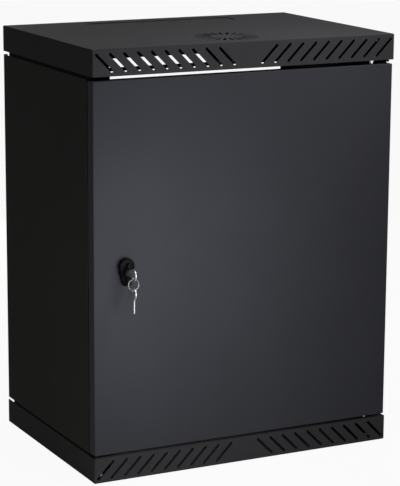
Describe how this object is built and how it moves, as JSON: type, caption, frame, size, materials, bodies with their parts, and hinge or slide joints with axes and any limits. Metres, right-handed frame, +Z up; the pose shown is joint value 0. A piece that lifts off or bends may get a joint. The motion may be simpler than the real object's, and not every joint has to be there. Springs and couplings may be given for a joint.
{
  "type": "wall mount network cabinet",
  "caption": "Wall mount network cabinet with slotted covers, hinged steel door with a knob lock and key, side panels and punched rack rails inside.",
  "frame": {"origin": "centre of the bottom cover's underside", "axes": "+X to the right seen from the front, +Y to the wall, +Z up"},
  "size_m": [0.6, 0.4583, 0.77],
  "materials": {
    "cover_paint": "satin black powder coat, fine orange peel",
    "door_paint": "satin black powder coat, fine orange peel",
    "side_paint": "satin black powder coat",
    "frame_paint": "satin black powder coat",
    "rack_steel": "satin black powder coat",
    "zinc": "bright zinc plate",
    "pin_chrome": "polished nickel plate",
    "spring_steel": "drawn spring wire",
    "knob_plastic": "gloss black moulded",
    "plug_chrome": "nickel plated, keyway cut",
    "key_nickel": "nickel plated brass, worn",
    "ring_steel": "bright split ring wire"
  },
  "bodies": {
    "cabinet": {"top_cover": "cover_paint", "bottom_cover": "cover_paint", "left_side_panel": "side_paint", "right_side_panel": "side_paint", "top_cable_plate": "frame_paint", "front_left_upright": "frame_paint", "front_right_upright": "frame_paint", "rear_left_upright": "frame_paint", "rear_right_upright": "frame_paint", "front_top_tie": "frame_paint", "front_bottom_tie": "frame_paint", "upper_left_side_rail": "frame_paint", "upper_right_side_rail": "frame_paint", "lower_left_side_rail": "frame_paint", "lower_right_side_rail": "frame_paint", "rear_top_rail": "frame_paint", "rear_bottom_rail": "frame_paint", "left_rack_rail": "rack_steel", "right_rack_rail": "rack_steel", "striker": "zinc", "lid_studs": "zinc", "lid_nuts": "zinc", "base_studs": "zinc", "base_nuts": "zinc", "left_panel_studs": "zinc", "left_panel_nuts": "zinc", "right_panel_studs": "zinc", "right_panel_nuts": "zinc", "rack_rail_bolts": "zinc", "rack_rail_nuts": "zinc", "earth_stud": "zinc"},
    "door": {"door_panel": "door_paint", "door_stiffener": "frame_paint", "upper_hinge_bracket": "frame_paint", "hinge_spring": "spring_steel", "lower_hinge_pin": "pin_chrome", "lock_housing": "knob_plastic", "lock_nut": "zinc"},
    "hinge_pin": {"upper_hinge_pin": "pin_chrome"},
    "knob": {"lock_knob": "knob_plastic", "lock_cam": "zinc", "cam_nut": "zinc"},
    "plug": {"lock_plug": "plug_chrome", "key": "key_nickel"},
    "ring": {"key_ring": "ring_steel"},
    "spare": {"spare_key": "key_nickel"}
  },
  "joints": [
    {"name": "door_hinge", "type": "hinge", "parent": "cabinet", "child": "door", "pos_m": [0.2595, -0.193, 0.051], "axis": [0, 0, 1], "range_deg": [0, 180]},
    {"name": "hinge_pin_slide", "type": "slide", "parent": "door", "child": "hinge_pin", "axis": [0, 0, 1], "range_m": [-0.009, 0], "stiffness_N_per_m": 800, "springref_m": 0.004, "deforming": ["hinge_spring"]},
    {"name": "knob_turn", "type": "hinge", "parent": "door", "child": "knob", "pos_m": [-0.241, -0.205, 0.3815], "axis": [0, 1, 0], "range_deg": [0, 90]},
    {"name": "key_turn", "type": "hinge", "parent": "knob", "child": "plug", "pos_m": [-0.241, -0.205, 0.3815], "axis": [0, 1, 0], "range_deg": [0, 90]},
    {"name": "ring_swing", "type": "hinge", "parent": "plug", "child": "ring", "pos_m": [-0.241, -0.2423, 0.3747], "axis": [1, 0, 0], "range_deg": [-60, 10]},
    {"name": "spare_key_swing", "type": "hinge", "parent": "ring", "child": "spare", "pos_m": [-0.241, -0.2423, 0.3551], "axis": [1, 0, 0], "range_deg": [-60, 15]}
  ]
}
